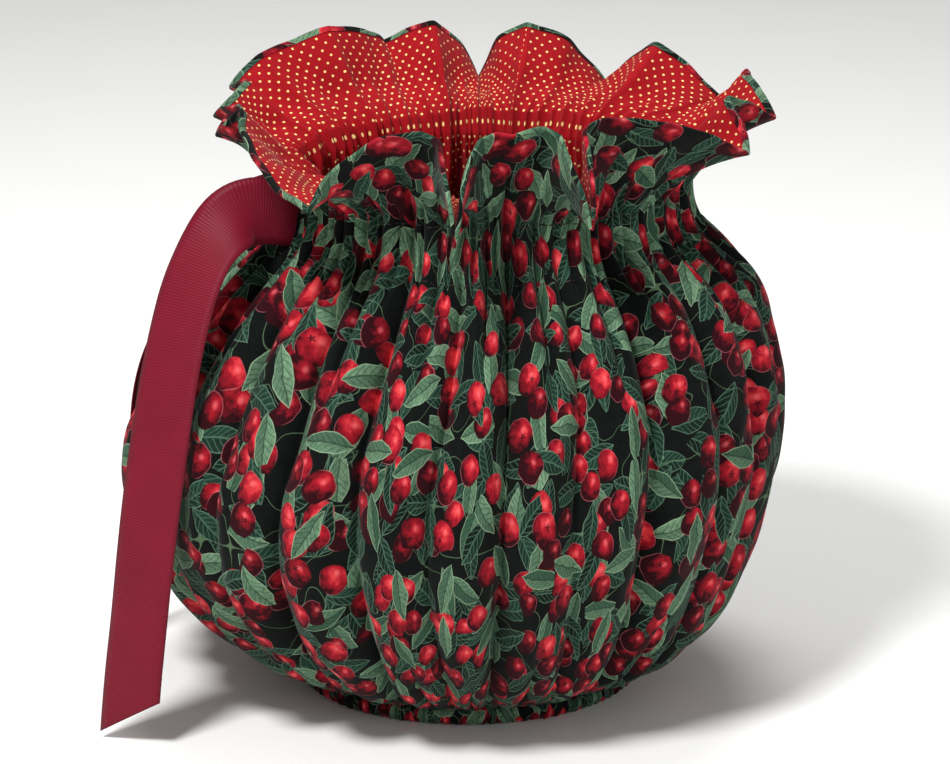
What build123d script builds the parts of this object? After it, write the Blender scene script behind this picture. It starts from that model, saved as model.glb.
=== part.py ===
from build123d import *
from math import asin, cos, degrees, hypot, pi, radians, sin, tan
import os

# Drawstring gift pouch: a padded cotton bag with a gathered collar, drawn in by a flat ribbon.
# Millimetres, +Z up. The pouch stands on z = 0 with its axis on Z, and its front faces -Y.
# On the real pouch the collar is one strip of cloth. Here it is cut at the valleys between its
# gathers, so that each gather can slide towards the axis when the ribbon is pulled.

# ---- driving dimensions -------------------------------------------------------------------------
BODY_RADIUS = 125.0  # widest place of the stuffed body
SHOULDER_RADIUS, SHOULDER_HEIGHT = 88.0, 165.0  # top of the body wall, under the collar
NECK_RADIUS = 74.0  # outside of the casing that the ribbon runs in
CASING_LOW, CASING_HIGH = 173.5, 199.5  # the casing's two rows of stitching
RIM_RADIUS, RIM_HEIGHT = 97.0, 231.0  # outer edge of the collar
FOOT_RADIUS, FOOT_HEIGHT, FOOT_WIDTH = 66.0, 6.0, 6.5  # the gathered hem that the pouch stands on

CLOTH = 1.0  # cotton with its turnings, doubled up along the gathers
WADDING = 4.6  # quilt wadding between the two cloths
LAYER_GAP = 0.2  # air between two layers
RIBBON_WIDTH, RIBBON_THICK = 25.0, 0.6

# Azimuths of the valleys between the gathers, in degrees from +X. A gather fills each space.
VALLEYS = [5, 50, 80, 101, 128, 160, 184, 207, 250, 276, 305, 336]
RIBBON_EXITS = (184, 207)  # the two valleys where the ribbon comes out of the casing
DRAW_TRAVEL = 15.0  # how far each gather slides towards the axis
DRAWN_CLEARANCE = 0.5  # from a drawn gather to the plane between it and the next

# The body wall's outer face, as (radius, height), from the foot to the shoulder.
WALL = [
    (FOOT_RADIUS + 0.8, FOOT_HEIGHT + 0.8),
    (93.0, 20.0),
    (113.0, 48.0),
    (BODY_RADIUS - 1.0, 80.0),
    (BODY_RADIUS, 98.0),
    (117.0, 128.0),
    (102.0, 150.0),
    (SHOULDER_RADIUS, SHOULDER_HEIGHT),
]
# The collar's outer face, from the shoulder up past the casing to the rim.
COLLAR = [
    (SHOULDER_RADIUS - 1.0, SHOULDER_HEIGHT + 2.5),
    (NECK_RADIUS, CASING_LOW),
    (NECK_RADIUS, CASING_HIGH),
    (NECK_RADIUS + 9.0, CASING_HIGH + 15.0),
    (RIM_RADIUS, RIM_HEIGHT),
]

# The ribbon's two tails: the route of the middle of each, and the direction of its width.
TAILS = {
    "ribbon_tail_front": {
        "across": (0.866, -0.5, 0.0),
        "route": [
            (-74.0, -39.5, 190.0),
            (-84.0, -50.0, 185.0),
            (-94.0, -58.5, 168.0),
            (-102.5, -66.0, 142.0),
            (-109.0, -74.5, 111.0),
            (-115.0, -79.0, 78.0),
            (-120.0, -80.5, 46.0),
            (-124.0, -81.5, 21.0),
            (-126.0, -82.5, 2.0),
        ],
    },
    "ribbon_tail_rear": {
        "across": (0.259, 0.966, 0.0),
        "route": [
            (-79.5, 4.0, 189.0),
            (-90.5, 11.0, 184.0),
            (-103.0, 19.5, 168.0),
            (-114.0, 27.0, 143.0),
            (-122.5, 33.5, 112.0),
            (-127.0, 35.5, 79.0),
            (-129.0, 36.5, 47.0),
            (-130.0, 37.0, 21.0),
            (-130.2, 38.0, 2.0),
        ],
    },
}

os.makedirs("parts", exist_ok=True)


# ---- helpers ------------------------------------------------------------------------------------
def inset(points, depth):
    """The (radius, height) points moved by depth towards the inside of the pouch."""
    moved = []
    for i, (r, z) in enumerate(points):
        before, after = points[max(i - 1, 0)], points[min(i + 1, len(points) - 1)]
        along_r, along_z = after[0] - before[0], after[1] - before[1]
        long = hypot(along_r, along_z)
        moved.append((r - depth * along_z / long, z + depth * along_r / long))
    return moved


def section(points, depth, thick, curve):
    """The cross-section, in the XZ plane, of a layer that lies depth inside the outer face."""
    outer, inner = inset(points, depth), inset(points, depth + thick)
    with BuildSketch(Plane.XZ) as sketch:
        with BuildLine():
            curve(*outer)
            curve(*inner)
            Line(outer[0], inner[0])
            Line(outer[-1], inner[-1])
        make_face()
    return sketch.sketch


def turned(face, middle=0.0, arc=360.0):
    """A cross-section turned about Z over arc degrees, centred on the azimuth middle."""
    return revolve(face, Axis.Z, arc).rotate(Axis.Z, middle - arc / 2)


def ring(inner, outer, low, high, middle=0.0, arc=360.0):
    """A plain ring, or a sector of one."""
    with BuildSketch(Plane.XZ) as sketch:
        with Locations(((inner + outer) / 2, (low + high) / 2)):
            Rectangle(outer - inner, high - low)
    return turned(sketch.sketch, middle, arc)


def save(shape, node):
    shape.label = node
    export_step(shape, f"parts/{node}.step")


# ---- body: three layers of wall, three layers of base, and the gathered hem ----------------------
def body_wall():
    depth = 0.0
    for node, thick in (("outer_shell", CLOTH), ("wall_wadding", WADDING), ("wall_lining", CLOTH)):
        save(turned(section(WALL, depth, thick, Spline)), node)
        depth += thick + LAYER_GAP


def base_panel():
    radius = FOOT_RADIUS - FOOT_WIDTH - LAYER_GAP
    low = 0.0
    for node, thick in (("base_outer", CLOTH), ("base_wadding", WADDING), ("base_lining", CLOTH)):
        save(Pos(0, 0, low + thick / 2) * Cylinder(radius, thick), node)
        low += thick + LAYER_GAP


def hem():
    """The bottom edge, folded round the elastic that gathers it. The fold is open to the inside."""
    inside = FOOT_RADIUS - FOOT_WIDTH
    fold = ring(inside, FOOT_RADIUS, 0, FOOT_HEIGHT)
    channel = ring(inside - CLOTH, FOOT_RADIUS - CLOTH, CLOTH, FOOT_HEIGHT - CLOTH)
    save(fold - channel, "hem_casing")
    clear = CLOTH + LAYER_GAP
    save(ring(inside + CLOTH, FOOT_RADIUS - clear, clear, FOOT_HEIGHT - clear), "hem_elastic")


# ---- collar: two cloths for each gather, and the ribbon's run between them ------------------------
LINING_DEPTH = CLOTH + 1.9  # the ribbon's channel lies between the two cloths
RUN_RADIUS = NECK_RADIUS - CLOTH - 0.7  # outer face of the ribbon in the casing


def gather_sectors():
    """(middle, arc) of each gather: the widest arc that clears its neighbours when drawn in."""
    inner = NECK_RADIUS - LINING_DEPTH - CLOTH
    sectors = []
    for i, start in enumerate(VALLEYS):
        width = (VALLEYS[(i + 1) % len(VALLEYS)] - start) % 360
        set_back = DRAW_TRAVEL * sin(radians(width / 2)) + DRAWN_CLEARANCE
        sectors.append((start + width / 2, width - 2 * degrees(asin(set_back / inner))))
    return sectors


def collar():
    outer = section(COLLAR, 0.0, CLOTH, Polyline)
    lining = section(COLLAR, LINING_DEPTH, CLOTH, Polyline)
    low = (CASING_LOW + CASING_HIGH - RIBBON_WIDTH) / 2
    for i, (middle, arc) in enumerate(gather_sectors()):
        save(turned(outer, middle, arc), f"collar_outer_{i + 1:02d}")
        save(turned(lining, middle, arc), f"collar_lining_{i + 1:02d}")
        between_exits = RIBBON_EXITS[0] < middle < RIBBON_EXITS[1]
        if not between_exits:
            run = (RUN_RADIUS - RIBBON_THICK, RUN_RADIUS, low, low + RIBBON_WIDTH, middle, arc)
            save(ring(*run), f"drawstring_run_{i + 1:02d}")
        print(f"gather {i + 1:02d} middle {middle:.1f} arc {arc:.1f}")


# ---- ribbon tails ---------------------------------------------------------------------------------
def bend_radii(points):
    """For each inner point, 0.45 of the shorter run divided by the tangent of half the turn."""
    radii = []
    for a, b, c in zip(points, points[1:], points[2:]):
        turn = radians((b - a).get_angle(c - b))
        radii.append(0.45 * min((b - a).length, (c - b).length) / tan(turn / 2))
    return radii


def tail(node, across, route):
    """A flat strip along straight runs joined by tangent arcs."""
    points = [Vector(*point) for point in route]
    across = Vector(*across)
    radii = bend_radii(points)
    path = FilletPolyline(*points, radius=radii)
    start = Plane(origin=points[0], x_dir=across, z_dir=points[1] - points[0])
    strip = sweep(start * Rectangle(RIBBON_WIDTH, RIBBON_THICK), path=path)
    save(strip, node)
    share = strip.volume / (RIBBON_WIDTH * RIBBON_THICK * path.length)
    print(node, "length", round(path.length, 1), "volume share", round(share, 4))
    print("   bend radii", [round(radius) for radius in radii])
    return path.length


body_wall()
base_panel()
hem()
collar()
tail_lengths = [tail(node, **facts) for node, facts in TAILS.items()]
in_casing = RUN_RADIUS * radians(360 - (RIBBON_EXITS[1] - RIBBON_EXITS[0]))
print("ribbon in all", round(in_casing + sum(tail_lengths)), "mm")
print("ribbon paid out at each end when drawn", round(pi * DRAW_TRAVEL, 2), "mm")
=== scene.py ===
import bmesh
import bpy
import math
import numpy as np
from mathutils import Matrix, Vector


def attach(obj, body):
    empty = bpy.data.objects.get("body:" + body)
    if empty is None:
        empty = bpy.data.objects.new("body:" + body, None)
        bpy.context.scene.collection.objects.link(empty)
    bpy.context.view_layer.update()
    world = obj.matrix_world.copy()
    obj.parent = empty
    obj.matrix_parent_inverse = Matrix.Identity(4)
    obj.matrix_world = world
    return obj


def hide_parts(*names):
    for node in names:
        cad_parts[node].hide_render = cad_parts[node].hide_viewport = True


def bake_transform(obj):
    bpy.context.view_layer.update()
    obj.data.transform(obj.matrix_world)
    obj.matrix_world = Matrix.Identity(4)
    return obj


# A drawstring gift pouch in printed quilting cotton, padded, with a turned-out collar.
# Shapes are worked out in millimetres, and become metres when a mesh is made.

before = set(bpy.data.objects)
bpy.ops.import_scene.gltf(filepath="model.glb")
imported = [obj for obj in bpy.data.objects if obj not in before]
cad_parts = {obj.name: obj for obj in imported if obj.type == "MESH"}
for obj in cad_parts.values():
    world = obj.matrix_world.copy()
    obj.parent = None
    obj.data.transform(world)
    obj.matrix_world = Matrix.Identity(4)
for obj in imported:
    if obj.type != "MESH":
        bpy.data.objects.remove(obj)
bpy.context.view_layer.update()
mm = 0.001


def smoothstep(x, low, high):
    t = np.clip((x - low) / (high - low), 0.0, 1.0)
    return t * t * (3 - 2 * t)


def between(x, *knots):
    # a value read off a list of (place, value) knots, eased from knot to knot
    places = np.array([k[0] for k in knots], float)
    values = np.array([k[1] for k in knots], float)
    i = np.clip(np.searchsorted(places, x) - 1, 0, len(places) - 2)
    t = np.clip((x - places[i]) / (places[i + 1] - places[i]), 0.0, 1.0)
    return values[i] + (values[i + 1] - values[i]) * t * t * (3 - 2 * t)


def linear(hexColour):
    # a hex colour in sRGB, as linear RGBA
    parts = [int(hexColour[i:i + 2], 16) / 255 for i in (1, 3, 5)]
    return [c / 12.92 if c <= 0.04045 else ((c + 0.055) / 1.055) ** 2.4 for c in parts] + [1.0]


def alongLine(points, count):
    # points at equal steps along a polyline
    points = np.asarray(points, float)
    steps = np.linalg.norm(np.diff(points, axis=0), axis=1)
    walked = np.concatenate([[0.0], np.cumsum(steps)])
    places = np.linspace(0.0, walked[-1], count)
    return np.stack([np.interp(places, walked, points[:, k]) for k in range(points.shape[1])], 1)


def rounded(points, radius, step):
    # the same line with its corners rounded off over about radius
    reach = max(1, int(round(2.5 * radius / step)))
    weights = np.exp(-0.5 * (np.arange(-reach, reach + 1) * step / radius) ** 2)
    weights /= weights.sum()
    padded = np.concatenate([
        2 * points[0] - points[reach:0:-1], points, 2 * points[-1] - points[-2:-reach - 2:-1]
    ])
    return np.stack([np.convolve(padded[:, k], weights, "valid") for k in range(points.shape[1])], 1)


def link(name, data):
    made = bpy.data.objects.new(name, data)
    bpy.context.scene.collection.objects.link(made)
    return made


def wave(u, v, seed, scaleU, scaleV):
    # smooth noise from -1 to 1 that closes on itself round the pouch; u is an angle in radians
    draw = np.random.default_rng(seed)
    total = 0.0
    for _ in range(9):
        turns = draw.integers(1, scaleU + 1)
        rise = draw.normal(0, 1.0) / scaleV
        total = total + np.sin(turns * u + rise * v * 2 * np.pi + draw.uniform(0, 2 * np.pi))
    return total / 4.2


studio = {
    "target": (0.0027, 0.0, 0.1157),
    "elevation": 16.5,
    "distance": 1.7,
    "widthSeen": 0.3626,  # at the target
    "lamps": {  # place, size and power
        "key": ((-0.55, -0.85, 1.55), 0.4, 32),
        "fill": ((0.9, -1.4, 0.5), 0.9, 5),
        "top": ((0.1, 0.45, 1.5), 0.7, 12),
    },
    "sky": 0.30,
}


def makeCamera():
    data = bpy.data.cameras.new("camera")
    camera = link("camera", data)
    e = math.radians(studio["elevation"])
    back = Vector((0, -math.cos(e), math.sin(e)))
    camera.location = Vector(studio["target"]) + back * studio["distance"]
    camera.rotation_mode = "QUATERNION"
    camera.rotation_quaternion = (-back).to_track_quat("-Z", "Y")
    data.sensor_width = 36.0
    data.lens = data.sensor_width * studio["distance"] / studio["widthSeen"]
    data.clip_start, data.clip_end = 0.05, 20
    bpy.context.scene.camera = camera


def areaLight(name, place, size, power, aim=(0, 0, 0.11)):
    data = bpy.data.lights.new(name, "AREA")
    data.shape, data.size, data.energy = "DISK", size, power
    lamp = link(name, data)
    lamp.location = place
    lamp.rotation_mode = "QUATERNION"
    lamp.rotation_quaternion = (Vector(aim) - Vector(place)).to_track_quat("-Z", "Y")


makeCamera()
for lampName, (lampPlace, lampSize, lampPower) in studio["lamps"].items():
    areaLight(lampName, lampPlace, lampSize, lampPower)
world = bpy.data.worlds.new("studio")
world.use_nodes = True
world.node_tree.nodes["Background"].inputs[0].default_value = (1, 1, 1, 1)
world.node_tree.nodes["Background"].inputs[1].default_value = studio["sky"]
bpy.context.scene.world = world
bpy.context.scene.view_settings.view_transform = "Standard"


def makeFloor():
    mesh = bmesh.new()
    bmesh.ops.create_grid(mesh, x_segments=1, y_segments=1, size=4.0)
    data = bpy.data.meshes.new("floor")
    mesh.to_mesh(data)
    mesh.free()
    floor = link("floor", data)
    return floor


floor = makeFloor()
print("studio ready")


def add(tree, kind, inputs=(), **settings):
    # one node: its settings, then its inputs by name or in order, each a value or the socket that feeds it
    made = tree.nodes.new("ShaderNode" + kind)
    for name, value in settings.items():
        setattr(made, name, value)
    shown = [socket for socket in made.inputs if socket.enabled]
    pairs = inputs.items() if isinstance(inputs, dict) else zip(shown, inputs)
    for socket, value in pairs:
        socket = made.inputs[socket] if isinstance(socket, str) else socket
        if isinstance(value, bpy.types.NodeSocket):
            tree.links.new(value, socket)
        else:
            socket.default_value = value
    return next(socket for socket in made.outputs if socket.enabled)


def newMaterial(name):
    material = bpy.data.materials.new(name)
    material.use_nodes = True
    return material, material.node_tree, material.node_tree.nodes["Principled BSDF"]


def scattered(tree, place, cell, shift, loose):
    # motifs scattered one to a cell, each turned at random: across, along, two draws, and the unturned place
    moved = add(tree, "VectorMath", [place, (shift, shift * 1.7, 0)], operation="ADD")
    colour = add(tree, "TexVoronoi", {"Vector": moved, "Scale": 1 / cell, "Randomness": loose},
                 voronoi_dimensions="2D", feature="F1").node.outputs
    local = add(tree, "VectorMath", [moved, colour["Position"]], operation="SUBTRACT")
    draws = add(tree, "SeparateColor", [colour["Color"]]).node.outputs
    turn = add(tree, "Math", [draws[0], 2 * math.pi], operation="MULTIPLY")
    turned = add(tree, "VectorRotate", {"Vector": local, "Angle": turn}, rotation_type="Z_AXIS")
    parts = add(tree, "SeparateXYZ", [turned]).node.outputs
    return parts[0], parts[1], draws[1], draws[2], local


def leafLayer(tree, ground, place, leaf):
    # pointed leaves with a pale rib and side veins, darker along one half
    along, across, draw, tone, local = scattered(tree, place, leaf["cell"], leaf["shift"], 0.85)
    reach = add(tree, "Math", [along, leaf["long"]], operation="DIVIDE")
    swell = add(tree, "Math", [reach, reach], operation="MULTIPLY")
    swell = add(tree, "Math", [1.0, swell], operation="SUBTRACT")
    swell = add(tree, "Math", [swell, leaf["wide"]], operation="MULTIPLY")
    side = add(tree, "Math", [across], operation="ABSOLUTE")
    inside = add(tree, "Math", [swell, side], operation="SUBTRACT")
    kept = add(tree, "Math", [draw, leaf["share"]], operation="LESS_THAN")
    mask = add(tree, "MapRange", [inside, 0.0, 0.22, 0.0, 1.0])
    mask = add(tree, "Math", [mask, kept], operation="MULTIPLY")
    rib = add(tree, "MapRange", [side, 0.14, 0.42, 1.0, 0.0])
    slant = add(tree, "Math", [side, 1.15], operation="MULTIPLY")
    slant = add(tree, "Math", [along, slant], operation="SUBTRACT")
    beat = add(tree, "Math", [slant, 1.35], operation="PINGPONG")
    veins = add(tree, "MapRange", [beat, 0.12, 0.38, 0.75, 0.0])
    edge = add(tree, "MapRange", [inside, 0.25, 0.6, 0.7, 0.0])
    lines = add(tree, "Math", [rib, veins], operation="MAXIMUM")
    lines = add(tree, "Math", [lines, 0.7], operation="MULTIPLY")
    half = add(tree, "MapRange", [across, -0.4, 0.4, 0.0, 0.45])
    tint = add(tree, "Math", [tone, 0.55], operation="MULTIPLY")
    half = add(tree, "Math", [half, tint], operation="ADD")
    blade = add(tree, "Mix", [half, linear(leaf["dark"]), linear(leaf["light"])], data_type="RGBA")
    brushed = add(tree, "TexNoise", {"Vector": local, "Scale": 0.5, "Detail": 3.0})
    brushed = add(tree, "MapRange", [brushed, 0.35, 0.75, 0.0, 0.7])
    blade = add(tree, "Mix", [brushed, blade, linear(leaf["dark"])], data_type="RGBA")
    blade = add(tree, "Mix", [lines, blade, linear(leaf["vein"])], data_type="RGBA")
    blade = add(tree, "Mix", [edge, blade, linear(leaf["edge"])], data_type="RGBA")
    return add(tree, "Mix", [mask, ground, blade], data_type="RGBA")


def berryLayer(tree, ground, place, berry):
    # round berries, lit from one side, each with a thin pale rim and some with a dark calyx
    radius = berry["radius"]
    along, across, draw, tone, local = scattered(tree, place, berry["cell"], berry["shift"], 0.9)
    apart = add(tree, "VectorMath", [local], operation="LENGTH")
    size = add(tree, "MapRange", [tone, 0.0, 1.0, radius * 0.86, radius * 1.08])
    inside = add(tree, "Math", [size, apart], operation="SUBTRACT")
    kept = add(tree, "Math", [draw, berry["share"]], operation="LESS_THAN")
    mask = add(tree, "MapRange", [inside, 0.0, 0.45, 0.0, 1.0])
    mask = add(tree, "Math", [mask, kept], operation="MULTIPLY")
    shine = add(tree, "VectorMath", [local, (radius * 0.28, radius * 0.3, 0)], operation="DISTANCE")
    blotch = add(tree, "TexNoise", {"Vector": place, "Scale": 0.3, "Detail": 3.0})
    blotch = add(tree, "MapRange", [blotch, 0.3, 0.7, -0.6, 3.4])
    shade = add(tree, "Math", [shine, blotch], operation="ADD")
    dusk = add(tree, "MapRange", [draw, 0.0, berry["share"], -0.1 * radius, 0.75 * radius])
    shade = add(tree, "Math", [shade, dusk], operation="ADD")
    near = add(tree, "MapRange", [shade, 0.8, radius * 0.8, 0.0, 1.0])
    far = add(tree, "MapRange", [shade, radius * 0.65, radius * 1.5, 0.0, 1.0])
    skin = add(tree, "Mix", [near, linear("#E0484A"), linear("#A81727")], data_type="RGBA")
    skin = add(tree, "Mix", [far, skin, linear("#2A040B")], data_type="RGBA")
    glint = add(tree, "MapRange", [shine, 0.2, 1.6, 0.4, 0.0])
    skin = add(tree, "Mix", [glint, skin, linear("#F2787C")], data_type="RGBA")
    rim = add(tree, "MapRange", [inside, 0.2, 0.45, 0.7, 0.0])
    lit = add(tree, "MapRange", [across, -1.0, 2.0, 0.0, 1.0])
    rim = add(tree, "Math", [rim, lit], operation="MULTIPLY")
    skin = add(tree, "Mix", [rim, skin, linear("#D9707A")], data_type="RGBA")
    ahead = add(tree, "Math", [along, radius * 0.3], operation="SUBTRACT")
    angle = add(tree, "Math", [across, ahead], operation="ARCTAN2")
    spot = add(tree, "CombineXYZ", [ahead, across, 0.0])
    away = add(tree, "VectorMath", [spot], operation="LENGTH")
    points = add(tree, "Math", [angle, 5.0], operation="MULTIPLY")
    points = add(tree, "Math", [points], operation="COSINE")
    star = add(tree, "MapRange", [points, -1.0, 1.0, 0.9, 1.9])
    star = add(tree, "Math", [star, away], operation="SUBTRACT")
    star = add(tree, "MapRange", [star, 0.0, 0.7, 0.0, 0.85])
    chosen = add(tree, "Math", [tone, 0.55], operation="GREATER_THAN")
    star = add(tree, "Math", [star, chosen], operation="MULTIPLY")
    skin = add(tree, "Mix", [star, skin, linear("#2A0710")], data_type="RGBA")
    return add(tree, "Mix", [mask, ground, skin], data_type="RGBA")


def cottonFinish(tree, shader, place):
    # plain weave, slightly furry: matt, with a little sheen where it turns away
    thread = 0.45  # mm, drawn at twice the real 0.22, or it doesn't show
    parts = add(tree, "SeparateXYZ", [place]).node.outputs
    warp = add(tree, "Math", [parts[0], thread], operation="PINGPONG")
    weft = add(tree, "Math", [parts[1], thread], operation="PINGPONG")
    threads = add(tree, "Math", [warp, weft], operation="ADD")
    fuzz = add(tree, "TexNoise", {"Vector": place, "Scale": 1.1, "Detail": 3.0})
    height = add(tree, "Math", [threads, fuzz], operation="ADD")
    bump = add(tree, "Bump", {"Height": height, "Strength": 0.35, "Distance": 0.0002})
    tree.links.new(bump, shader.inputs["Normal"])
    rough = add(tree, "MapRange", [fuzz, 0.3, 0.7, 0.78, 0.92])
    tree.links.new(rough, shader.inputs["Roughness"])
    shader.inputs["Specular IOR Level"].default_value = 0.1
    shader.inputs["Sheen Weight"].default_value = 0.04
    shader.inputs["Sheen Roughness"].default_value = 0.45


def flatPlace(tree):
    # where a point lies on the flat cloth, in mm
    uv = add(tree, "UVMap", uv_map="cloth")
    return add(tree, "VectorMath", [uv, (1000, 1000, 1000)], operation="MULTIPLY")


berryPrintLook = {  # sizes in mm
    "ground": ("#020303", "#0B120E"),
    "stem": "#5F7A5A",
    "deep": {"dark": "#08160F", "light": "#1F3D30", "vein": "#4B6B59", "edge": "#5F7D69"},
    "sage": {"dark": "#2E4B39", "light": "#709172", "vein": "#0E1C15", "edge": "#92AB8A"},
    "layers": [  # from the bottom up; the stems are printed over the first
        ("deep", {"cell": 18, "shift": 3, "long": 11.5, "wide": 4.6, "share": 0.9}),
        ("sage", {"cell": 20, "shift": 41, "long": 12.0, "wide": 4.4, "share": 0.7}),
        ("berry", {"cell": 15.5, "shift": 19, "radius": 6.2, "share": 0.66}),
        ("deep", {"cell": 24, "shift": 77, "long": 11.0, "wide": 4.2, "share": 0.6}),
        ("berry", {"cell": 17, "shift": 63, "radius": 6.6, "share": 0.62}),
        ("sage", {"cell": 26, "shift": 115, "long": 11.5, "wide": 4.2, "share": 0.42}),
    ],
}


def makeBerryPrint():
    # quilting cotton, roller printed all over with berries and leaves on black
    look = berryPrintLook
    material, tree, shader = newMaterial("rollerPrintedQuiltingCotton")
    flat = flatPlace(tree)
    drift = add(tree, "TexNoise", {"Vector": flat, "Scale": 0.11, "Detail": 1.0}).node.outputs["Color"]
    drift = add(tree, "VectorMath", [drift, (3.2, 3.2, 0)], operation="MULTIPLY")  # no two motifs quite alike
    place = add(tree, "VectorMath", [flat, drift], operation="ADD")
    mottle = add(tree, "TexNoise", {"Vector": place, "Scale": 0.2})
    ground, greyed = (linear(tint) for tint in look["ground"])
    colour = add(tree, "Mix", [mottle, ground, greyed], data_type="RGBA")
    winding = add(tree, "TexNoise", {"Vector": place, "Scale": 0.055, "Detail": 0.0})
    stem = add(tree, "Math", [winding, 0.5], operation="SUBTRACT")
    stem = add(tree, "Math", [stem], operation="ABSOLUTE")
    stem = add(tree, "MapRange", [stem, 0.0025, 0.006, 0.6, 0.0])
    for k, (kind, motif) in enumerate(look["layers"]):
        if kind == "berry":
            colour = berryLayer(tree, colour, place, motif)
        else:
            colour = leafLayer(tree, colour, place, look[kind] | motif)
        if k == 0:
            colour = add(tree, "Mix", [stem, colour, linear(look["stem"])], data_type="RGBA")
    tree.links.new(colour, shader.inputs["Base Color"])
    cottonFinish(tree, shader, flat)
    return material


pinDotLook = {"pitch": 5.2, "dot": 0.95, "red": ("#7E0A12", "#A01019"), "cream": "#EFCB86"}  # mm


def makePinDot():
    # quilting cotton, dyed red and printed with small cream dots set on the diagonal
    look = pinDotLook
    material, tree, shader = newMaterial("pinDotQuiltingCotton")
    flat = flatPlace(tree)
    strain = add(tree, "Attribute", attribute_name="strain").node.outputs["Vector"]
    drawn = add(tree, "VectorMath", [strain, (1, 1, 1)], operation="ADD")  # dots stay round in the gathers
    pitch, half = look["pitch"], look["pitch"] / 2
    apart = []
    for shift in (0.0, half):
        moved = add(tree, "VectorMath", [flat, (shift, shift, 0)], operation="ADD")
        folded = add(tree, "VectorMath", [moved, (pitch, pitch, pitch), (0, 0, 0)], operation="WRAP")
        centred = add(tree, "VectorMath", [folded, (half, half, 0)], operation="SUBTRACT")
        parts = add(tree, "SeparateXYZ", [centred]).node.outputs
        spot = add(tree, "CombineXYZ", [parts[0], parts[1], 0.0])
        spot = add(tree, "VectorMath", [spot, drawn], operation="MULTIPLY")
        apart.append(add(tree, "VectorMath", [spot], operation="LENGTH"))
    nearest = add(tree, "Math", apart, operation="MINIMUM")
    tone = add(tree, "TexNoise", {"Vector": flat, "Scale": 0.06, "Detail": 3.0})
    red = add(tree, "Mix", [tone, linear(look["red"][0]), linear(look["red"][1])], data_type="RGBA")
    dots = add(tree, "MapRange", [nearest, look["dot"] * 0.4, look["dot"] * 0.62, 1.0, 0.0])
    colour = add(tree, "Mix", [dots, red, linear(look["cream"])], data_type="RGBA")
    tree.links.new(colour, shader.inputs["Base Color"])
    cottonFinish(tree, shader, flat)
    return material


# groove is a painted shade colour, laid into the grooves between the ribs
grosgrainLook = {"pitch": 1.05, "colours": ("#6B0C1F", "#80112A"), "groove": "#4A0716", "edge": "#560A1B"}


def makeGrosgrain():
    # polyester grosgrain, woven with thick weft ribs across, so it shines in fine lines
    look = grosgrainLook
    material, tree, shader = newMaterial("polyesterGrosgrain")
    flat = flatPlace(tree)
    parts = add(tree, "SeparateXYZ", [flat]).node.outputs
    turns = add(tree, "Math", [parts[1], 2 * math.pi / look["pitch"]], operation="MULTIPLY")
    rib = add(tree, "Math", [turns], operation="SINE")
    rib = add(tree, "MapRange", [rib, -1.0, 1.0, 0.0, 1.0])
    side = add(tree, "Math", [parts[0]], operation="ABSOLUTE")
    edge = add(tree, "MapRange", [side, 11.2, 12.0, 0.0, 0.5])
    fade = add(tree, "TexNoise", {"Vector": flat, "Scale": 0.05, "Detail": 2.0})
    colour = add(tree, "Mix", [fade, *(linear(tint) for tint in look["colours"])], data_type="RGBA")
    # painted shade: the colour darkens in the grooves between the ribs, on top of the bump
    groove = add(tree, "MapRange", [rib, 0.0, 1.0, 0.45, 0.0])
    colour = add(tree, "Mix", [groove, colour, linear(look["groove"])], data_type="RGBA")
    colour = add(tree, "Mix", [edge, colour, linear(look["edge"])], data_type="RGBA")
    tree.links.new(colour, shader.inputs["Base Color"])
    bump = add(tree, "Bump", {"Height": rib, "Strength": 0.4, "Distance": 0.0002})
    tree.links.new(bump, shader.inputs["Normal"])
    shader.inputs["Roughness"].default_value = 0.52
    shader.inputs["Specular IOR Level"].default_value = 0.15
    shader.inputs["Sheen Weight"].default_value = 0.05
    shader.inputs["Sheen Roughness"].default_value = 0.4
    return material


def makeMottled(name, colours, grain, roughness, depth):
    # a plain stuff whose surface is mottled over grain mm
    material, tree, shader = newMaterial(name)
    place = add(tree, "TexCoord").node.outputs["Object"]
    noise = add(tree, "TexNoise", {"Vector": place, "Scale": 1000 / grain, "Detail": 4.0})
    colour = add(tree, "Mix", [noise, linear(colours[0]), linear(colours[1])], data_type="RGBA")
    tree.links.new(colour, shader.inputs["Base Color"])
    bump = add(tree, "Bump", {"Height": noise, "Strength": 0.5, "Distance": depth})
    tree.links.new(bump, shader.inputs["Normal"])
    shader.inputs["Roughness"].default_value = roughness
    return material


berryPrint = makeBerryPrint()
pinDot = makePinDot()
grosgrain = makeGrosgrain()
wadding = makeMottled("needledCottonWadding", ("#E9E5DA", "#D9D3C4"), 3.0, 0.95, 0.0008)
elastic = makeMottled("braidedElastic", ("#E4E2DC", "#CFCCC4"), 1.1, 0.8, 0.0003)
thread = makeMottled("spunCottonThread", ("#2A1414", "#1A0D0D"), 0.5, 0.7, 0.0001)
floorPaint = makeMottled("mattEmulsionPaint", ("#F4F4F2", "#F1F1EF"), 90.0, 0.9, 0.0001)
floor.data.materials.append(floorPaint)
print("materials ready")


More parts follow.
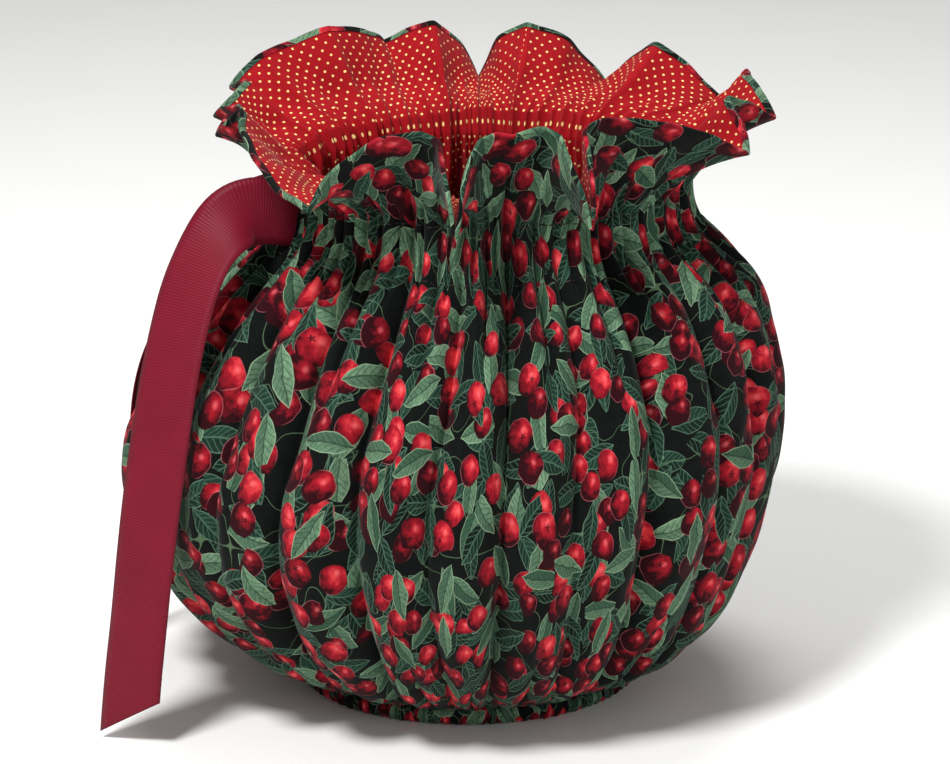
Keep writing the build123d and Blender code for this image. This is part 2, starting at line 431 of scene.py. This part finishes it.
def clothPiece(name, points, flat, normals, material, closed=False, inward=False):
    # a grid of cloth laid over rows and columns of points in mm, keeping each point's place on the flat cloth
    rows, cols = points.shape[:2]
    mesh = bmesh.new()
    bmesh.ops.create_grid(mesh, x_segments=cols - 1, y_segments=rows - 1, size=0.5)
    place = mesh.verts.layers.int.new("place")
    sewn = mesh.loops.layers.uv.new("cloth")
    inOrder = sorted(mesh.verts, key=lambda v: (round(v.co.y, 5), v.co.x))
    for i, vert in enumerate(inOrder):
        vert[place] = i
    strain = np.zeros((rows * cols, 3))
    for k in (0, 1):
        drawn, laid = (np.linalg.norm(np.gradient(part, axis=1 - k), axis=2) for part in (points * mm, flat))
        strain[:, k] = np.clip(drawn / np.maximum(laid, 1e-6), 0.3, 6).ravel() - 1
    spots = (points.reshape(-1, 3) * mm).tolist()
    cut = flat.reshape(-1, 2).tolist()
    for vert in inOrder:
        vert.co = spots[vert[place]]
    for face in mesh.faces:
        face.smooth = True
        for loop in face.loops:
            loop[sewn].uv = cut[loop.vert[place]]
    if closed:
        border = [v for v in mesh.verts if v.is_boundary]
        bmesh.ops.remove_doubles(mesh, verts=border, dist=0.000002)
    if inward:
        bmesh.ops.reverse_faces(mesh, faces=mesh.faces)
    data = bpy.data.meshes.new(name)
    mesh.to_mesh(data)
    mesh.free()
    kept = np.empty(len(data.vertices), np.int32)
    data.attributes["place"].data.foreach_get("value", kept)
    data.attributes.new("strain", "FLOAT_VECTOR", "POINT").data.foreach_set("vector", strain[kept].ravel())
    if normals is not None:
        facing = normals.reshape(-1, 3)[kept] * (-1 if inward else 1)
        data.normals_split_custom_set_from_vertices(facing.tolist())
    data.attributes.remove(data.attributes["place"])
    data.materials.append(material)
    return link(name, data)


def facings(points, loop=True):
    # unit normals of a grid of points whose columns may close on themselves
    up = np.gradient(points, axis=0)
    if loop:
        aside = (np.roll(points, -1, 1) - np.roll(points, 1, 1)) / 2
    else:
        aside = np.gradient(points, axis=1)
    out = np.cross(aside, up)
    return out / np.maximum(np.linalg.norm(out, axis=2, keepdims=True), 1e-9)


def closeRound(grid):
    return np.concatenate([grid, grid[:, :1]], axis=1)


# The cloth tube: its columns run round from the back seam, its rows up from the hem.
pouch = {
    "valleys": [80, 101, 128, 160, 184, 207, 250, 276, 305, 336, 365, 410, 440],  # degrees; gathers meet here
    "gathers": [3, 4, 5, 6, 7, 8, 9, 10, 11, 12, 1, 2],
    "perDegree": 3,  # columns
    "clothRound": 960.0,  # mm of printed cloth, gathered to the neck
    "liningRound": 850.0,
    "neckShift": 5.5,  # the neck leans to +X
    "sway": 4.5,  # the belly leans to -X by this much
    "heave": 11.0,  # and is that much lower there than at +X
    "puff": {"proud": 3.8, "azimuth": 190, "spread": 13, "height": 106, "reach": 24},  # one pleat stands out
    "profile": [(64.5, 6.4), (66.5, 7.2), (70, 8.8), (78, 11.6), (91, 19), (103.5, 33), (114, 52),
                (121.5, 72), (124.5, 91), (123.5, 111), (118.5, 128), (110.5, 144), (100.5, 158),
                (91, 168.5), (83.5, 176), (79, 183), (77.5, 190), (77.5, 198)],  # radius and height
    "depth": ((0, 0.0), (7, 1.5), (14, 6), (30, 11), (60, 12.5), (95, 12), (130, 14.5), (155, 16), (172, 13),
              (180, 9.5), (190, 8.0), (198, 7.6)),  # of the creases, by height
    "divide": 128.0,  # the collar pieces start at this height
    "splitRow": 77,  # and at this row
}

firstValley = pouch["valleys"][0]
columns = 360 * pouch["perDegree"]
azimuth = np.radians(firstValley + np.arange(columns) / pouch["perDegree"])
outline = rounded(alongLine(pouch["profile"], 600), 5.0, 0.45)
outlineSteps = np.concatenate([[0.0], np.cumsum(np.linalg.norm(np.diff(outline, axis=0), axis=1))])
wallLength = float(outlineSteps[-1])
divideAt = float(np.interp(pouch["divide"], outline[:, 1], outlineSteps))
splitRow = pouch["splitRow"]
rowPlaces = np.concatenate([np.linspace(0, divideAt, splitRow + 1),
                            np.linspace(divideAt, wallLength, 52)[1:]])


def creaseFan():
    # creases round the pouch in degrees: the valleys, and one to three between each two
    draw = np.random.default_rng(5)
    fan = []
    for start, end in zip(pouch["valleys"], pouch["valleys"][1:]):
        parts = max(2, int(round((end - start) / 13.0)))
        fan.append((start, 1.0))
        for k in range(1, parts):
            place = start + (end - start) * (k + draw.uniform(-0.17, 0.17)) / parts
            fan.append((place, draw.uniform(0.5, 0.85)))
    return np.array(fan)


fan = creaseFan()
fanDraw = np.random.default_rng(11)
wanderRanges = ((0, 2 * np.pi), (0.7, 1.6), (0.6, 1.9))  # phase, beat and swing in degrees
fanWander = [[fanDraw.uniform(*ends) for ends in wanderRanges] for _ in fan]
fanFade = [(fanDraw.uniform(0.45, 1.0), fanDraw.uniform(55, 115)) for _ in fan]
midPlace = fanDraw.uniform(-0.12, 0.12, len(fan))
midReach = fanDraw.uniform(118, 152, len(fan))  # how far down from the neck the lesser creases run
hemReach = fanDraw.uniform(22, 60, len(fan))


def dip(x):
    # a crease's section: sharp in the bottom, rounding out to nothing at x = 1
    x = 1 - np.clip(np.abs(x), 0, 1)
    return 0.62 * (1 - np.sqrt(np.maximum(1 - 0.97 * x * x, 0))) / (1 - math.sqrt(0.03)) + 0.38 * x * x


def creases(angles, height):
    # how deep the cloth is folded in along one row, 0 to about 1, by the great, lesser and least creases
    still = 1 - float(smoothstep(np.array(height), 118, 160))
    places, depths = [], []
    for k, (place, depth) in enumerate(fan):
        phase, beat, swing = fanWander[k]
        places.append(place + still * swing * math.sin(phase + beat * height / 38))
        low, middle = fanFade[k]
        waist = math.exp(-((height - middle) / 36) ** 2)
        depths.append(depth * (1 - (1 - low) * waist * (0.55 if depth == 1.0 else 1.0)))
    places, depths = np.array(places), np.array(depths)
    ahead = np.append(places[1:], places[0] + 360)
    behind = np.insert(places[:-1], 0, places[-1] - 360)
    total = np.zeros((3, len(angles)))
    turned = (angles - places[0]) % 360 + places[0]
    for k, place in enumerate(places):
        near = (turned - place + 180) % 360 - 180
        half = np.where(near > 0, (ahead[k] - place) / 2, (place - behind[k]) / 2)
        total[0] += depths[k] * dip(near / half)
        gap = ahead[k] - place
        middle = place + gap * (0.5 + midPlace[k])
        most = max(float(smoothstep(np.array(height), midReach[k], 180)),
                   1 - float(smoothstep(np.array(height), 8, hemReach[k])))
        if most > 0.01:
            near = (turned - middle + 180) % 360 - 180
            total[1] += 0.7 * most * dip(near / (gap * 0.27))
        most = max(float(smoothstep(np.array(height), 163, 184)),
                   1 - float(smoothstep(np.array(height), 7, 18)))
        if most > 0.01:
            for share in (0.25, 0.75):
                near = (turned - place - gap * share + 180) % 360 - 180
                total[2] += 0.5 * most * dip(near / (gap * 0.13))
    return total


def wallRow(place, angles, inset, share):
    # one row of the wall, set in from the outer cloth by inset and creased that share as deep
    r = float(np.interp(place, outlineSteps, outline[:, 0]))
    z = float(np.interp(place, outlineSteps, outline[:, 1]))
    around = (min(place + 1.5, wallLength), max(place - 1.5, 0.0))
    ends = [np.interp(around, outlineSteps, outline[:, k]) for k in (0, 1)]
    slope = [float(ahead - back) for ahead, back in ends]
    size = math.hypot(*slope)
    outR, outZ = slope[1] / size, -slope[0] / size
    swell = float(smoothstep(np.array(z), 6, 75) * (1 - smoothstep(np.array(z), 115, 182)))
    lean = pouch["neckShift"] * float(smoothstep(np.array(z), 95, 180))
    degrees = np.degrees(angles)
    if share < 0.6:
        share += 0.22 * float(smoothstep(np.array(z), 165, 195))
    deep = float(between(np.array(z), *pouch["depth"])) * share
    proud = 0.1 + 0.2 * float(smoothstep(np.array(z), 120, 170))
    folded = deep * (creases(degrees, z).sum(0) - proud)
    rumple = 1.3 * swell * wave(angles, z / 170, 3, 22, 1.0) + 0.75 * swell * wave(angles, z / 60, 4, 60, 1.0)
    lobe = pouch["puff"]
    puff = (lobe["proud"] * np.exp(-((degrees % 360 - lobe["azimuth"]) / lobe["spread"]) ** 2)
            * math.exp(-((z - lobe["height"]) / lobe["reach"]) ** 2))
    push = puff - folded - inset + rumple * (1.0 if share > 0.9 else 0.5)
    cos, sin = np.cos(angles), np.sin(angles)
    radius = r - pouch["sway"] * cos * swell + outR * push
    height = z + pouch["heave"] * cos * swell * (1 - abs(r - 124) / 90) + outZ * push
    return np.stack([radius * cos + lean, radius * sin, np.maximum(height, 0.6)], 1)


def wall(inset, share, places=rowPlaces, angles=azimuth):
    sets = inset if callable(inset) else (lambda place: inset)
    return np.stack([wallRow(place, angles, sets(place), share) for place in places])


# The collar's rim: for each gather, (azimuth, lean from upright, reach from the neck) from its valley on.
collar = {
    3: [(80, 35, 44), (86, 50, 43), (91, 84, 43), (95, 55, 43)],
    4: [(101, 33, 44), (106, 40, 43), (111, 52, 43), (117, 36, 43)],
    5: [(128, 29, 44), (136, 36, 43), (144, 44, 43), (150, 62, 40), (155, 50, 36)],
    6: [(160, 34, 33), (167, 40, 31), (173, 50, 31), (179, 42, 31)],
    7: [(184, 30, 30), (190, 38, 31), (196, 50, 32), (202, 44, 36)],
    8: [(207, 34, 40), (216, 47, 41), (225, 60, 42), (233, 72, 43), (239, 77, 43), (243.5, 52, 43)],
    9: [(250, 36, 43), (257, 30, 43), (261, 34, 43), (263.4, 60, 43), (265.2, 89, 44), (267.2, 60, 43),
        (269.6, 33, 43), (273, 28, 43)],
    10: [(276, 31, 43), (282.5, 27, 43), (285.4, 32, 43), (287, 54, 43), (288.5, 82, 43), (290.2, 54, 43),
         (292, 29, 43), (297, 24, 43)],
    11: [(305, 26, 43), (314, 36, 43), (321, 50, 43), (327, 60, 43), (331, 44, 43)],
    12: [(336, 30, 43), (343, 42, 42), (348, 52, 42), (356, 40, 42)],
    1: [(365, 33, 42), (376, 42, 42), (387, 60, 42), (397, 77, 42), (403, 62, 42)],
    2: [(410, 43, 43), (418, 58, 43), (426, 80, 43), (432, 50, 43)],
}
neckLine = pouch["profile"][-1]  # radius and height, in mm
neckDepth = pouch["depth"][-1][1]


def rimColumns():
    # azimuth, lean and reach of the rim for each column, evenly spaced along each gather's own rim
    nodes, starts = [], []
    for gather in pouch["gathers"]:
        starts.append(len(nodes))
        nodes += collar[gather]
    nodes = np.array(nodes, float)
    ahead = np.concatenate([nodes[1:], nodes[:1] + [[360, 0, 0]]])
    dense, marks = [], []
    for k, (here, there) in enumerate(zip(nodes, ahead)):
        if k in starts:
            marks.append(sum(len(part) for part in dense))
        share = np.linspace(0, 1, 24, endpoint=False)[:, None]
        dense.append(here + (there - here) * share)
    dense = np.concatenate(dense)
    spread, lean, reach = np.radians(dense[:, 0]), np.radians(dense[:, 1]), dense[:, 2]
    radius = neckLine[0] + reach * np.sin(lean)
    height = neckLine[1] + reach * np.cos(lean)
    line = np.stack([radius * np.cos(spread), radius * np.sin(spread), height], 1)
    looped = np.concatenate([line[-60:], line, line[:60]])
    line = rounded(looped, 1.5, 0.9)[60:-60]
    marks.append(len(line))
    line = np.concatenate([line, line[:1]])
    walked = np.concatenate([[0.0], np.cumsum(np.linalg.norm(np.diff(line, axis=0), axis=1))])
    columnsOut, cloth = [], []
    for k, (left, right) in enumerate(zip(pouch["valleys"], pouch["valleys"][1:])):
        count = (right - left) * pouch["perDegree"]
        rimShare = (walked[marks[k + 1]] - walked[marks[k]]) / walked[-1]
        share = 0.55 * rimShare + 0.45 * (right - left) / 360
        cloth.append(np.full(count, share / count))
        at = np.linspace(walked[marks[k]], walked[marks[k + 1]], count, endpoint=False)
        columnsOut.append(np.stack([np.interp(at, walked, line[:, j]) for j in range(3)], 1))
    line = np.concatenate(columnsOut)
    rimRadius = np.hypot(line[:, 0], line[:, 1])
    spread = np.unwrap(np.arctan2(line[:, 1], line[:, 0]))
    spread += 2 * np.pi * np.round((azimuth[0] - spread[0]) / (2 * np.pi))
    lean = np.arctan2(rimRadius - neckLine[0], line[:, 2] - neckLine[1])
    reach = np.hypot(rimRadius - neckLine[0], line[:, 2] - neckLine[1])
    cloth = np.concatenate(cloth)
    cloth = np.convolve(np.concatenate([cloth[-15:], cloth, cloth[:15]]), np.full(31, 1 / 31), "valid")
    return spread, lean, reach, np.concatenate([[0.0], np.cumsum(cloth)]) / cloth.sum()


rimSpread, rimLean, rimReach, clothShare = rimColumns()
print(f"collar reach {rimReach.mean():.1f} mm on average")

neckCreases = creases(np.degrees(azimuth), neckLine[1])


def collarRow(t, pucker):
    # one row of the turned-out collar, from the neck at t = 0 to the rim at 1; the least creases end first
    left = [1 - smoothstep(np.array(t), *ends) for ends in ((0.1, 1.0), (0.05, 0.7), (0.0, 0.4))]
    folds = (neckCreases * np.array(left)[:, None]).sum(0) - 0.3 * left[0]
    curl = np.clip(0.62 * rimLean, 0.05, 1.2)  # how far the cloth turns from neck to rim, in radians
    arc = rimReach * (curl / 2) / np.sin(curl / 2)
    start = rimLean - curl / 2
    angle = start + curl * t
    out = arc * (np.cos(start) - np.cos(angle)) / curl
    up = arc * (np.sin(angle) - np.sin(start)) / curl
    turn = t * t * (3 - 2 * t) * 0.4 + t * 0.6
    spread = azimuth + (rimSpread - azimuth) * turn
    folded = neckDepth * folds * pucker
    radius = neckLine[0] + out - folded * np.cos(angle)
    height = neckLine[1] + up + folded * np.sin(angle)
    return np.stack([radius * np.cos(spread) + pouch["neckShift"], radius * np.sin(spread), height], 1)


collarRows = np.linspace(0, 1, 34)[1:]

wallOuter = wall(0.0, 1.0)
collarOuter = np.stack([collarRow(t, 1.0) for t in collarRows])
outer = np.concatenate([wallOuter, collarOuter])
flutter = wave(azimuth[None, :], np.linspace(0, 0.6, len(collarRows))[:, None], 8, 48, 1.0)
flutter = 1.25 * (flutter * collarRows[:, None])[..., None]
outer[len(wallOuter):] += flutter * facings(outer)[len(wallOuter):]
outerFacing = facings(outer)

# the outer cloth rolls over the rim and is caught down inside it
roll = 0.85
edgeTip, edgeOut = outer[-1], outerFacing[-1]
edgeAlong = outer[-1] - outer[-2]
edgeAlong /= np.linalg.norm(edgeAlong, axis=1, keepdims=True)
edgeRows = []
for turn in np.linspace(0, math.pi, 8)[1:]:
    edgeRows.append(edgeTip - edgeOut * roll * (1 - math.cos(turn)) + edgeAlong * roll * math.sin(turn))
for down in (0.8, 1.8):
    edgeRows.append(edgeTip - edgeOut * roll * 2 - edgeAlong * down)
outerWhole = np.concatenate([outer, np.stack(edgeRows)])
outerFacing = facings(outerWhole)

collarLength = float(np.mean(rimReach)) * 1.04
turnedIn = np.array([0.4, 0.8, 1.2, 1.6, 2.0, 2.4, 2.7, 3.5, 4.5])  # over the rim and down
outerAlong = np.concatenate([rowPlaces, wallLength + collarRows * collarLength,
                             wallLength + collarLength + turnedIn])
outerRound = clothShare * pouch["clothRound"]
outerFlat = np.stack(np.broadcast_arrays(outerRound[None, :] * mm, outerAlong[:, None] * mm), 2)


def liningInset(place):
    # how far inside the outer cloth the lining lies, down the wall
    knots = (0, 5.2), (30, 8.0), (divideAt, 8.4), (wallLength - 22, 8.6), (wallLength, 8.6)
    return float(between(np.array(place), *knots))


# in the collar the lining closes up on the outer cloth, towards the rim
wallLining = wall(liningInset, 0.56)
collarPlain = np.stack([collarRow(t, 0.78) for t in collarRows])
calm = np.concatenate([wall(0.0, 0.0, rowPlaces[-3:]), np.stack([collarRow(t, 0.0) for t in collarRows])])
calmFacing = facings(calm)[3:]
spread = np.exp(-0.5 * (np.arange(-40, 41) / 14.0) ** 2)
spread /= spread.sum()
soft = sum(weight * np.roll(calmFacing, shift, 1) for weight, shift in zip(spread, range(-40, 41)))
calmFacing = soft / np.linalg.norm(soft, axis=2, keepdims=True)
tight = outer[len(wallOuter):] - outerFacing[len(wallOuter):len(outer)] * 1.45
gap = between(collarRows, (0, 8.6), (0.5, 1.8), (1.0, 1.45))[:, None, None]
loose = collarPlain + calmFacing * (flutter - gap)
near = smoothstep(collarRows, 0.25, 0.6)[:, None, None]
collarLining = loose * (1 - near) + tight * near
lining = np.concatenate([wallLining, collarLining])
liningFacing = facings(lining)
liningAlong = np.concatenate([rowPlaces, wallLength + collarRows * collarLength])
liningRound = clothShare * pouch["liningRound"]
liningFlat = np.stack(np.broadcast_arrays(liningRound[None, :] * mm, liningAlong[:, None] * mm), 2)
print("cloth worked out")

seams = [(valley - firstValley) * pouch["perDegree"] for valley in pouch["valleys"]]
blendFrom, blendTo = (0, 0, 0.146), (0, 0, 0.174)  # heights on the shoulder, from the body to the casing; the wadding stops at the lower


def makeCloths(label, whole, flat, facing, material, nodes, inward):
    # one cloth, cut into the wall and a collar piece for each gather; nodes are what they stand for
    whole, facing = closeRound(whole), closeRound(facing)
    part = slice(splitRow + 1)
    root = clothPiece(label + "_wall", whole[part], flat[part], facing[part], material,
                      closed=True, inward=inward)
    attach(root, "pouch")
    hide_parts(nodes[0])
    for k, gather in enumerate(pouch["gathers"]):
        name, body = f"{label}_collar_{gather:02d}", f"gather_{gather:02d}"
        left, right = seams[k], seams[k + 1]
        part = slice(splitRow, None), slice(left, right + 1)
        piece = clothPiece(name, whole[part], flat[part], facing[part], material, inward=inward)
        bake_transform(piece)
        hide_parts(f"{nodes[1]}_{gather:02d}")
    print(label, "made")


makeCloths("outer", outerWhole, outerFlat, outerFacing, berryPrint,
           ("outer_shell", "collar_outer"), False)
makeCloths("lining", lining, liningFlat, liningFacing, pinDot,
           ("wall_lining", "collar_lining"), True)

# the two rows of stitching that make the casing, each stitch a short length of thread
stitching = {"heights": (176.5, 196.0), "thread": 0.5, "span": 3, "step": 5}  # mm, and columns of the cloth


def makeStitches():
    lifted = (outerWhole + outerFacing * 0.12) * mm
    for k, gather in enumerate(pouch["gathers"]):
        mesh = bmesh.new()
        for height in stitching["heights"]:
            row = int(np.argmin(np.abs(wallOuter[..., 2].mean(1) - height)))
            for left in range(seams[k] + 1, seams[k + 1] - stitching["span"], stitching["step"]):
                a, b = (Vector(lifted[row, i].tolist()) for i in (left, left + stitching["span"]))
                turn = (b - a).to_track_quat("Z", "X").to_matrix().to_4x4()
                turn.translation = (a + b) / 2
                bmesh.ops.create_cone(mesh, cap_ends=True, segments=6, radius1=stitching["thread"] / 2 * mm,
                                      radius2=stitching["thread"] / 2 * mm, depth=(b - a).length, matrix=turn)
        data = bpy.data.meshes.new("casing_stitches")
        mesh.to_mesh(data)
        mesh.free()
        data.materials.append(thread)
        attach(link(f"casing_stitches_{gather:02d}", data), f"gather_{gather:02d}")


makeStitches()

# wadding between the two cloths, one closed quilted layer
thinAngles = np.radians(firstValley + np.arange(0, 360, 0.5))
thinPlaces = np.linspace(3, np.interp(blendFrom[2] / mm, outline[:, 1], outlineSteps), 56)


def makeWadding():
    outside = wall(3.2, 1.0, thinPlaces, thinAngles)
    inside = wall(lambda place: liningInset(place) - 0.9, 0.56, thinPlaces[::-1], thinAngles)
    around = closeRound(np.concatenate([outside, inside, outside[:1]]))
    rows, cols = around.shape[:2]
    flat = np.stack(np.meshgrid(np.linspace(0, 0.96, cols), np.linspace(0, 0.4, rows)), 2)
    piece = clothPiece("wadding_wall", around, flat, None, wadding, closed=True)
    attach(piece, "pouch")
    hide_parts("wall_wadding")


makeWadding()

# the hem's casing at the foot, gathered on its elastic
hem = {
    "section": [(59.6, 3.0), (59.8, 1.4), (61.0, 0.5), (63.0, 0.3), (65.2, 1.2), (66.4, 3.2), (66.2, 5.4),
                (64.8, 7.0), (62.6, 7.3), (60.6, 6.2)],
    "elastic": [(61.6, 2.0), (61.6, 6.0), (62.2, 6.0), (62.2, 2.0)],
    "puckers": 96,  # round the foot
    "height": 0.7,  # how far they stand
}


def makeHem():
    section = rounded(alongLine(hem["section"] + hem["section"][:1], 40), 0.5, 0.5)
    section[-1] = section[0]
    middle = section.mean(0)
    count = 720
    angles = np.linspace(0, 2 * np.pi, count, endpoint=False)
    phase = hem["puckers"] * angles + 1.6 * wave(angles, 0.0, 31, 14, 1.0)
    swell = 0.55 * np.sin(phase) + 0.35 * wave(angles, 0.3, 32, 60, 1.0) + 0.25 * np.sin(phase * 2 + 1)
    rows = []
    for r, z in section:
        away = np.array([r, z]) - middle
        away /= np.linalg.norm(away)
        push = hem["height"] * swell * (0.4 + 0.6 * (z > 1.0))
        radius = r + away[0] * push
        rows.append(np.stack([radius * np.cos(angles), radius * np.sin(angles),
                              np.maximum(z + away[1] * push, 0.1)], 1))
    around = closeRound(np.stack(rows))
    flat = np.stack(np.meshgrid(np.linspace(0, 0.96, count + 1), np.linspace(-0.022, 0, len(section))), 2)
    piece = clothPiece("hem_band", around, flat, None, berryPrint, closed=True)
    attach(piece, "pouch")
    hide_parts("hem_casing")

    line = alongLine(hem["elastic"] + hem["elastic"][:1], 17)
    crimp = 0.25 * np.sin(70 * angles)
    rows = [np.stack([(r + crimp) * np.cos(angles), (r + crimp) * np.sin(angles), np.full(count, z)], 1)
            for r, z in line]
    flat = np.stack(np.meshgrid(np.linspace(0, 0.39, count + 1), np.linspace(0, 0.009, len(line))), 2)
    inner = clothPiece("hem_elastic_band", closeRound(np.stack(rows)), flat, None, elastic, closed=True)
    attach(inner, "pouch")
    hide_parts("hem_elastic")


makeHem()

base = {"radius": 62.0, "diamond": 22.0, "groove": 0.9}  # mm; quilted in diamonds


def makeDisc(name, radius, low, high, material, node):
    # a disc between two heights, quilted on its upper face
    ringSteps = np.linspace(0.0, 1.0, 34)
    angles = np.linspace(0, 2 * np.pi, 240, endpoint=False)
    lap = []
    for level, way in ((low, -1), (high, 1)):
        steps = ringSteps if way < 0 else ringSteps[::-1]
        for step in steps:
            r = radius * (0.004 + 0.996 * step)
            x, y = r * np.cos(angles), r * np.sin(angles)
            a = np.abs(((x + y) / base["diamond"]) % 1.0 - 0.5) * 2
            b = np.abs(((x - y) / base["diamond"]) % 1.0 - 0.5) * 2
            ditch = np.exp(-((1 - a) / 0.12) ** 2) + np.exp(-((1 - b) / 0.12) ** 2)
            deep = base["groove"] * np.minimum(ditch, 1.0) * min(1.0, (1 - step) * 8)
            rim = (high - low) * 0.35 * max(0.0, step - 0.94) / 0.06
            used = deep if way > 0 else 0.0
            lap.append(np.stack([x, y, level - way * (used + rim) + 0 * x], 1))
    around = closeRound(np.stack(lap))
    flat = around[..., :2] * mm
    piece = clothPiece(name, around, flat, None, material, closed=True)
    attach(piece, "pouch")
    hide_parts(node)
    return piece


baseUnder = makeDisc("base_cloth", base["radius"], 0.5, 1.5, berryPrint, "base_outer")
basePad = makeDisc("base_pad", base["radius"] - 1, 1.7, 6.1, wadding, "base_wadding")
baseTop = makeDisc("base_inside", base["radius"] - 1, 6.2, 7.2, pinDot, "base_lining")
print("base and hem made")

# the drawstring inside the casing, one stretch of it to each gather
run = {"radius": 71.3, "low": 174.6, "width": 24.4, "thickness": 0.5, "spare": 0.112}  # mm, and a share
ribbon = {"width": 25.0, "thickness": 0.45, "across": 9, "along": 150}  # mm, and points


def thicken(piece, thickness):
    thick = piece.modifiers.new("thickness", "SOLIDIFY")
    thick.thickness, thick.offset = thickness * mm, 0.0


def makeRuns():
    for k, gather in enumerate(pouch["gathers"]):
        if gather == 7:
            continue  # both tails come out at this gather's two valleys
        left, right = pouch["valleys"][k:k + 2]
        spare = run["spare"] * (right - left)  # left free at each end, for the gathers to close up
        angles = np.radians(np.linspace(left + spare, right - spare, (right - left) * 2))
        waves = run["radius"] + 0.2 * wave(angles, 0.0, 41, 40, 1.0)
        x, y = waves * np.cos(angles) + pouch["neckShift"], waves * np.sin(angles)
        steps = np.linspace(0, 1, 7)
        points = np.stack([np.stack([x, y, 0 * x + run["low"] + run["width"] * step], 1) for step in steps])
        walked = np.radians(np.linspace(left, right, len(angles))) * run["radius"]
        flat = np.stack(np.meshgrid(walked * mm, (steps - 0.5) * ribbon["width"] * mm), 2)[..., ::-1]
        piece = clothPiece(f"ribbon_run_{gather:02d}", points, flat, None, grosgrain)
        thicken(piece, run["thickness"])
        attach(piece, f"gather_{gather:02d}")
        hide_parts(f"drawstring_run_{gather:02d}")


makeRuns()

# the two free ends of the drawstring: flat ribbon 25 mm wide, hanging down the left side
tails = {
    "front": {
        "route": [(-60, -31, 189), (-73, -38.5, 194), (-87, -46.5, 193), (-100, -56, 176), (-108, -66, 146),
                  (-113.5, -74.5, 111), (-118, -79, 78), (-121.5, -81, 46), (-124.5, -82, 21),
                  (-126, -82.5, 2)],
        "turned": (6, 56),  # mm along it between standing on edge and hanging flat
        "across": (0.866, -0.5, 0), "slant": 17.0, "gather": 8,
    },
    "rear": {
        "route": [(-67, 1, 186), (-77, 4, 184), (-86, 9, 177), (-96, 17, 163), (-113, 27.5, 141),
                  (-126, 34.5, 112), (-129, 36, 79), (-129, 36.5, 47), (-130, 37, 21), (-130.2, 38, 2)],
        "turned": (4, 36),
        "across": (0.259, 0.966, 0), "slant": 15.0, "gather": 6,
    },
}


def smoothRoute(name, route):
    # the route's own spline, read back as a line of points in mm
    curve = bpy.data.curves.new(name, "CURVE")
    curve.dimensions = "3D"
    spline = curve.splines.new("NURBS")
    spline.points.add(len(route) - 1)
    for point, place in zip(spline.points, route):
        point.co = [c * mm for c in place] + [1.0]
    spline.order_u = 3
    spline.use_endpoint_u = True
    spline.resolution_u = 24
    holder = bpy.data.objects.new(name, curve)
    line = bpy.data.meshes.new_from_object(holder)
    points = np.array([v.co[:] for v in line.vertices]) / mm
    bpy.data.meshes.remove(line)
    bpy.data.objects.remove(holder)
    return points


def makeTail(side):
    tail = tails[side]
    line = alongLine(smoothRoute("route", tail["route"]), 400)
    steps = np.concatenate([[0.0], np.cumsum(np.linalg.norm(np.diff(line, axis=0), axis=1))])
    length = steps[-1]
    along = np.gradient(line, steps, axis=0)
    along /= np.linalg.norm(along, axis=1, keepdims=True)
    hung = smoothstep(steps, *tail["turned"])[:, None]
    across = np.array([0.0, 0.0, -1.0]) * (1 - hung) + np.array(tail["across"]) * hung
    across -= (across * along).sum(1, keepdims=True) * along
    across /= np.linalg.norm(across, axis=1, keepdims=True)
    face = np.cross(across, along)
    grid = np.empty((ribbon["along"], ribbon["across"], 3))
    flat = np.empty((ribbon["along"], ribbon["across"], 2))
    for j, aside in enumerate(np.linspace(-0.5, 0.5, ribbon["across"])):
        end = length - tail["slant"] * (aside + 0.5)
        at = np.linspace(0, end, ribbon["along"])
        spot, over, out = (np.stack([np.interp(at, steps, part[:, k]) for k in range(3)], 1)
                           for part in (line, across, face))
        cup = 0.5 * (4 * aside * aside - 0.5) * smoothstep(at, 25, 70) + 0.5 * np.sin(at / 17.0) * aside
        grid[:, j] = spot + over * aside * ribbon["width"] + out * cup[:, None]
        flat[:, j] = np.stack([np.full(len(at), aside * ribbon["width"]), at], 1) * mm
    grid[..., 2] = np.maximum(grid[..., 2], 0.5)  # its end just clears the floor
    piece = clothPiece("ribbon_" + side, grid, flat, None, grosgrain)
    thicken(piece, ribbon["thickness"])
    start, end = np.array(tail["route"][0]), np.array(tail["route"][3])
    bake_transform(piece)
    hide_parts("ribbon_tail_" + side)
    print(f"ribbon {side} {length:.1f} mm")


makeTail("front")
makeTail("rear")
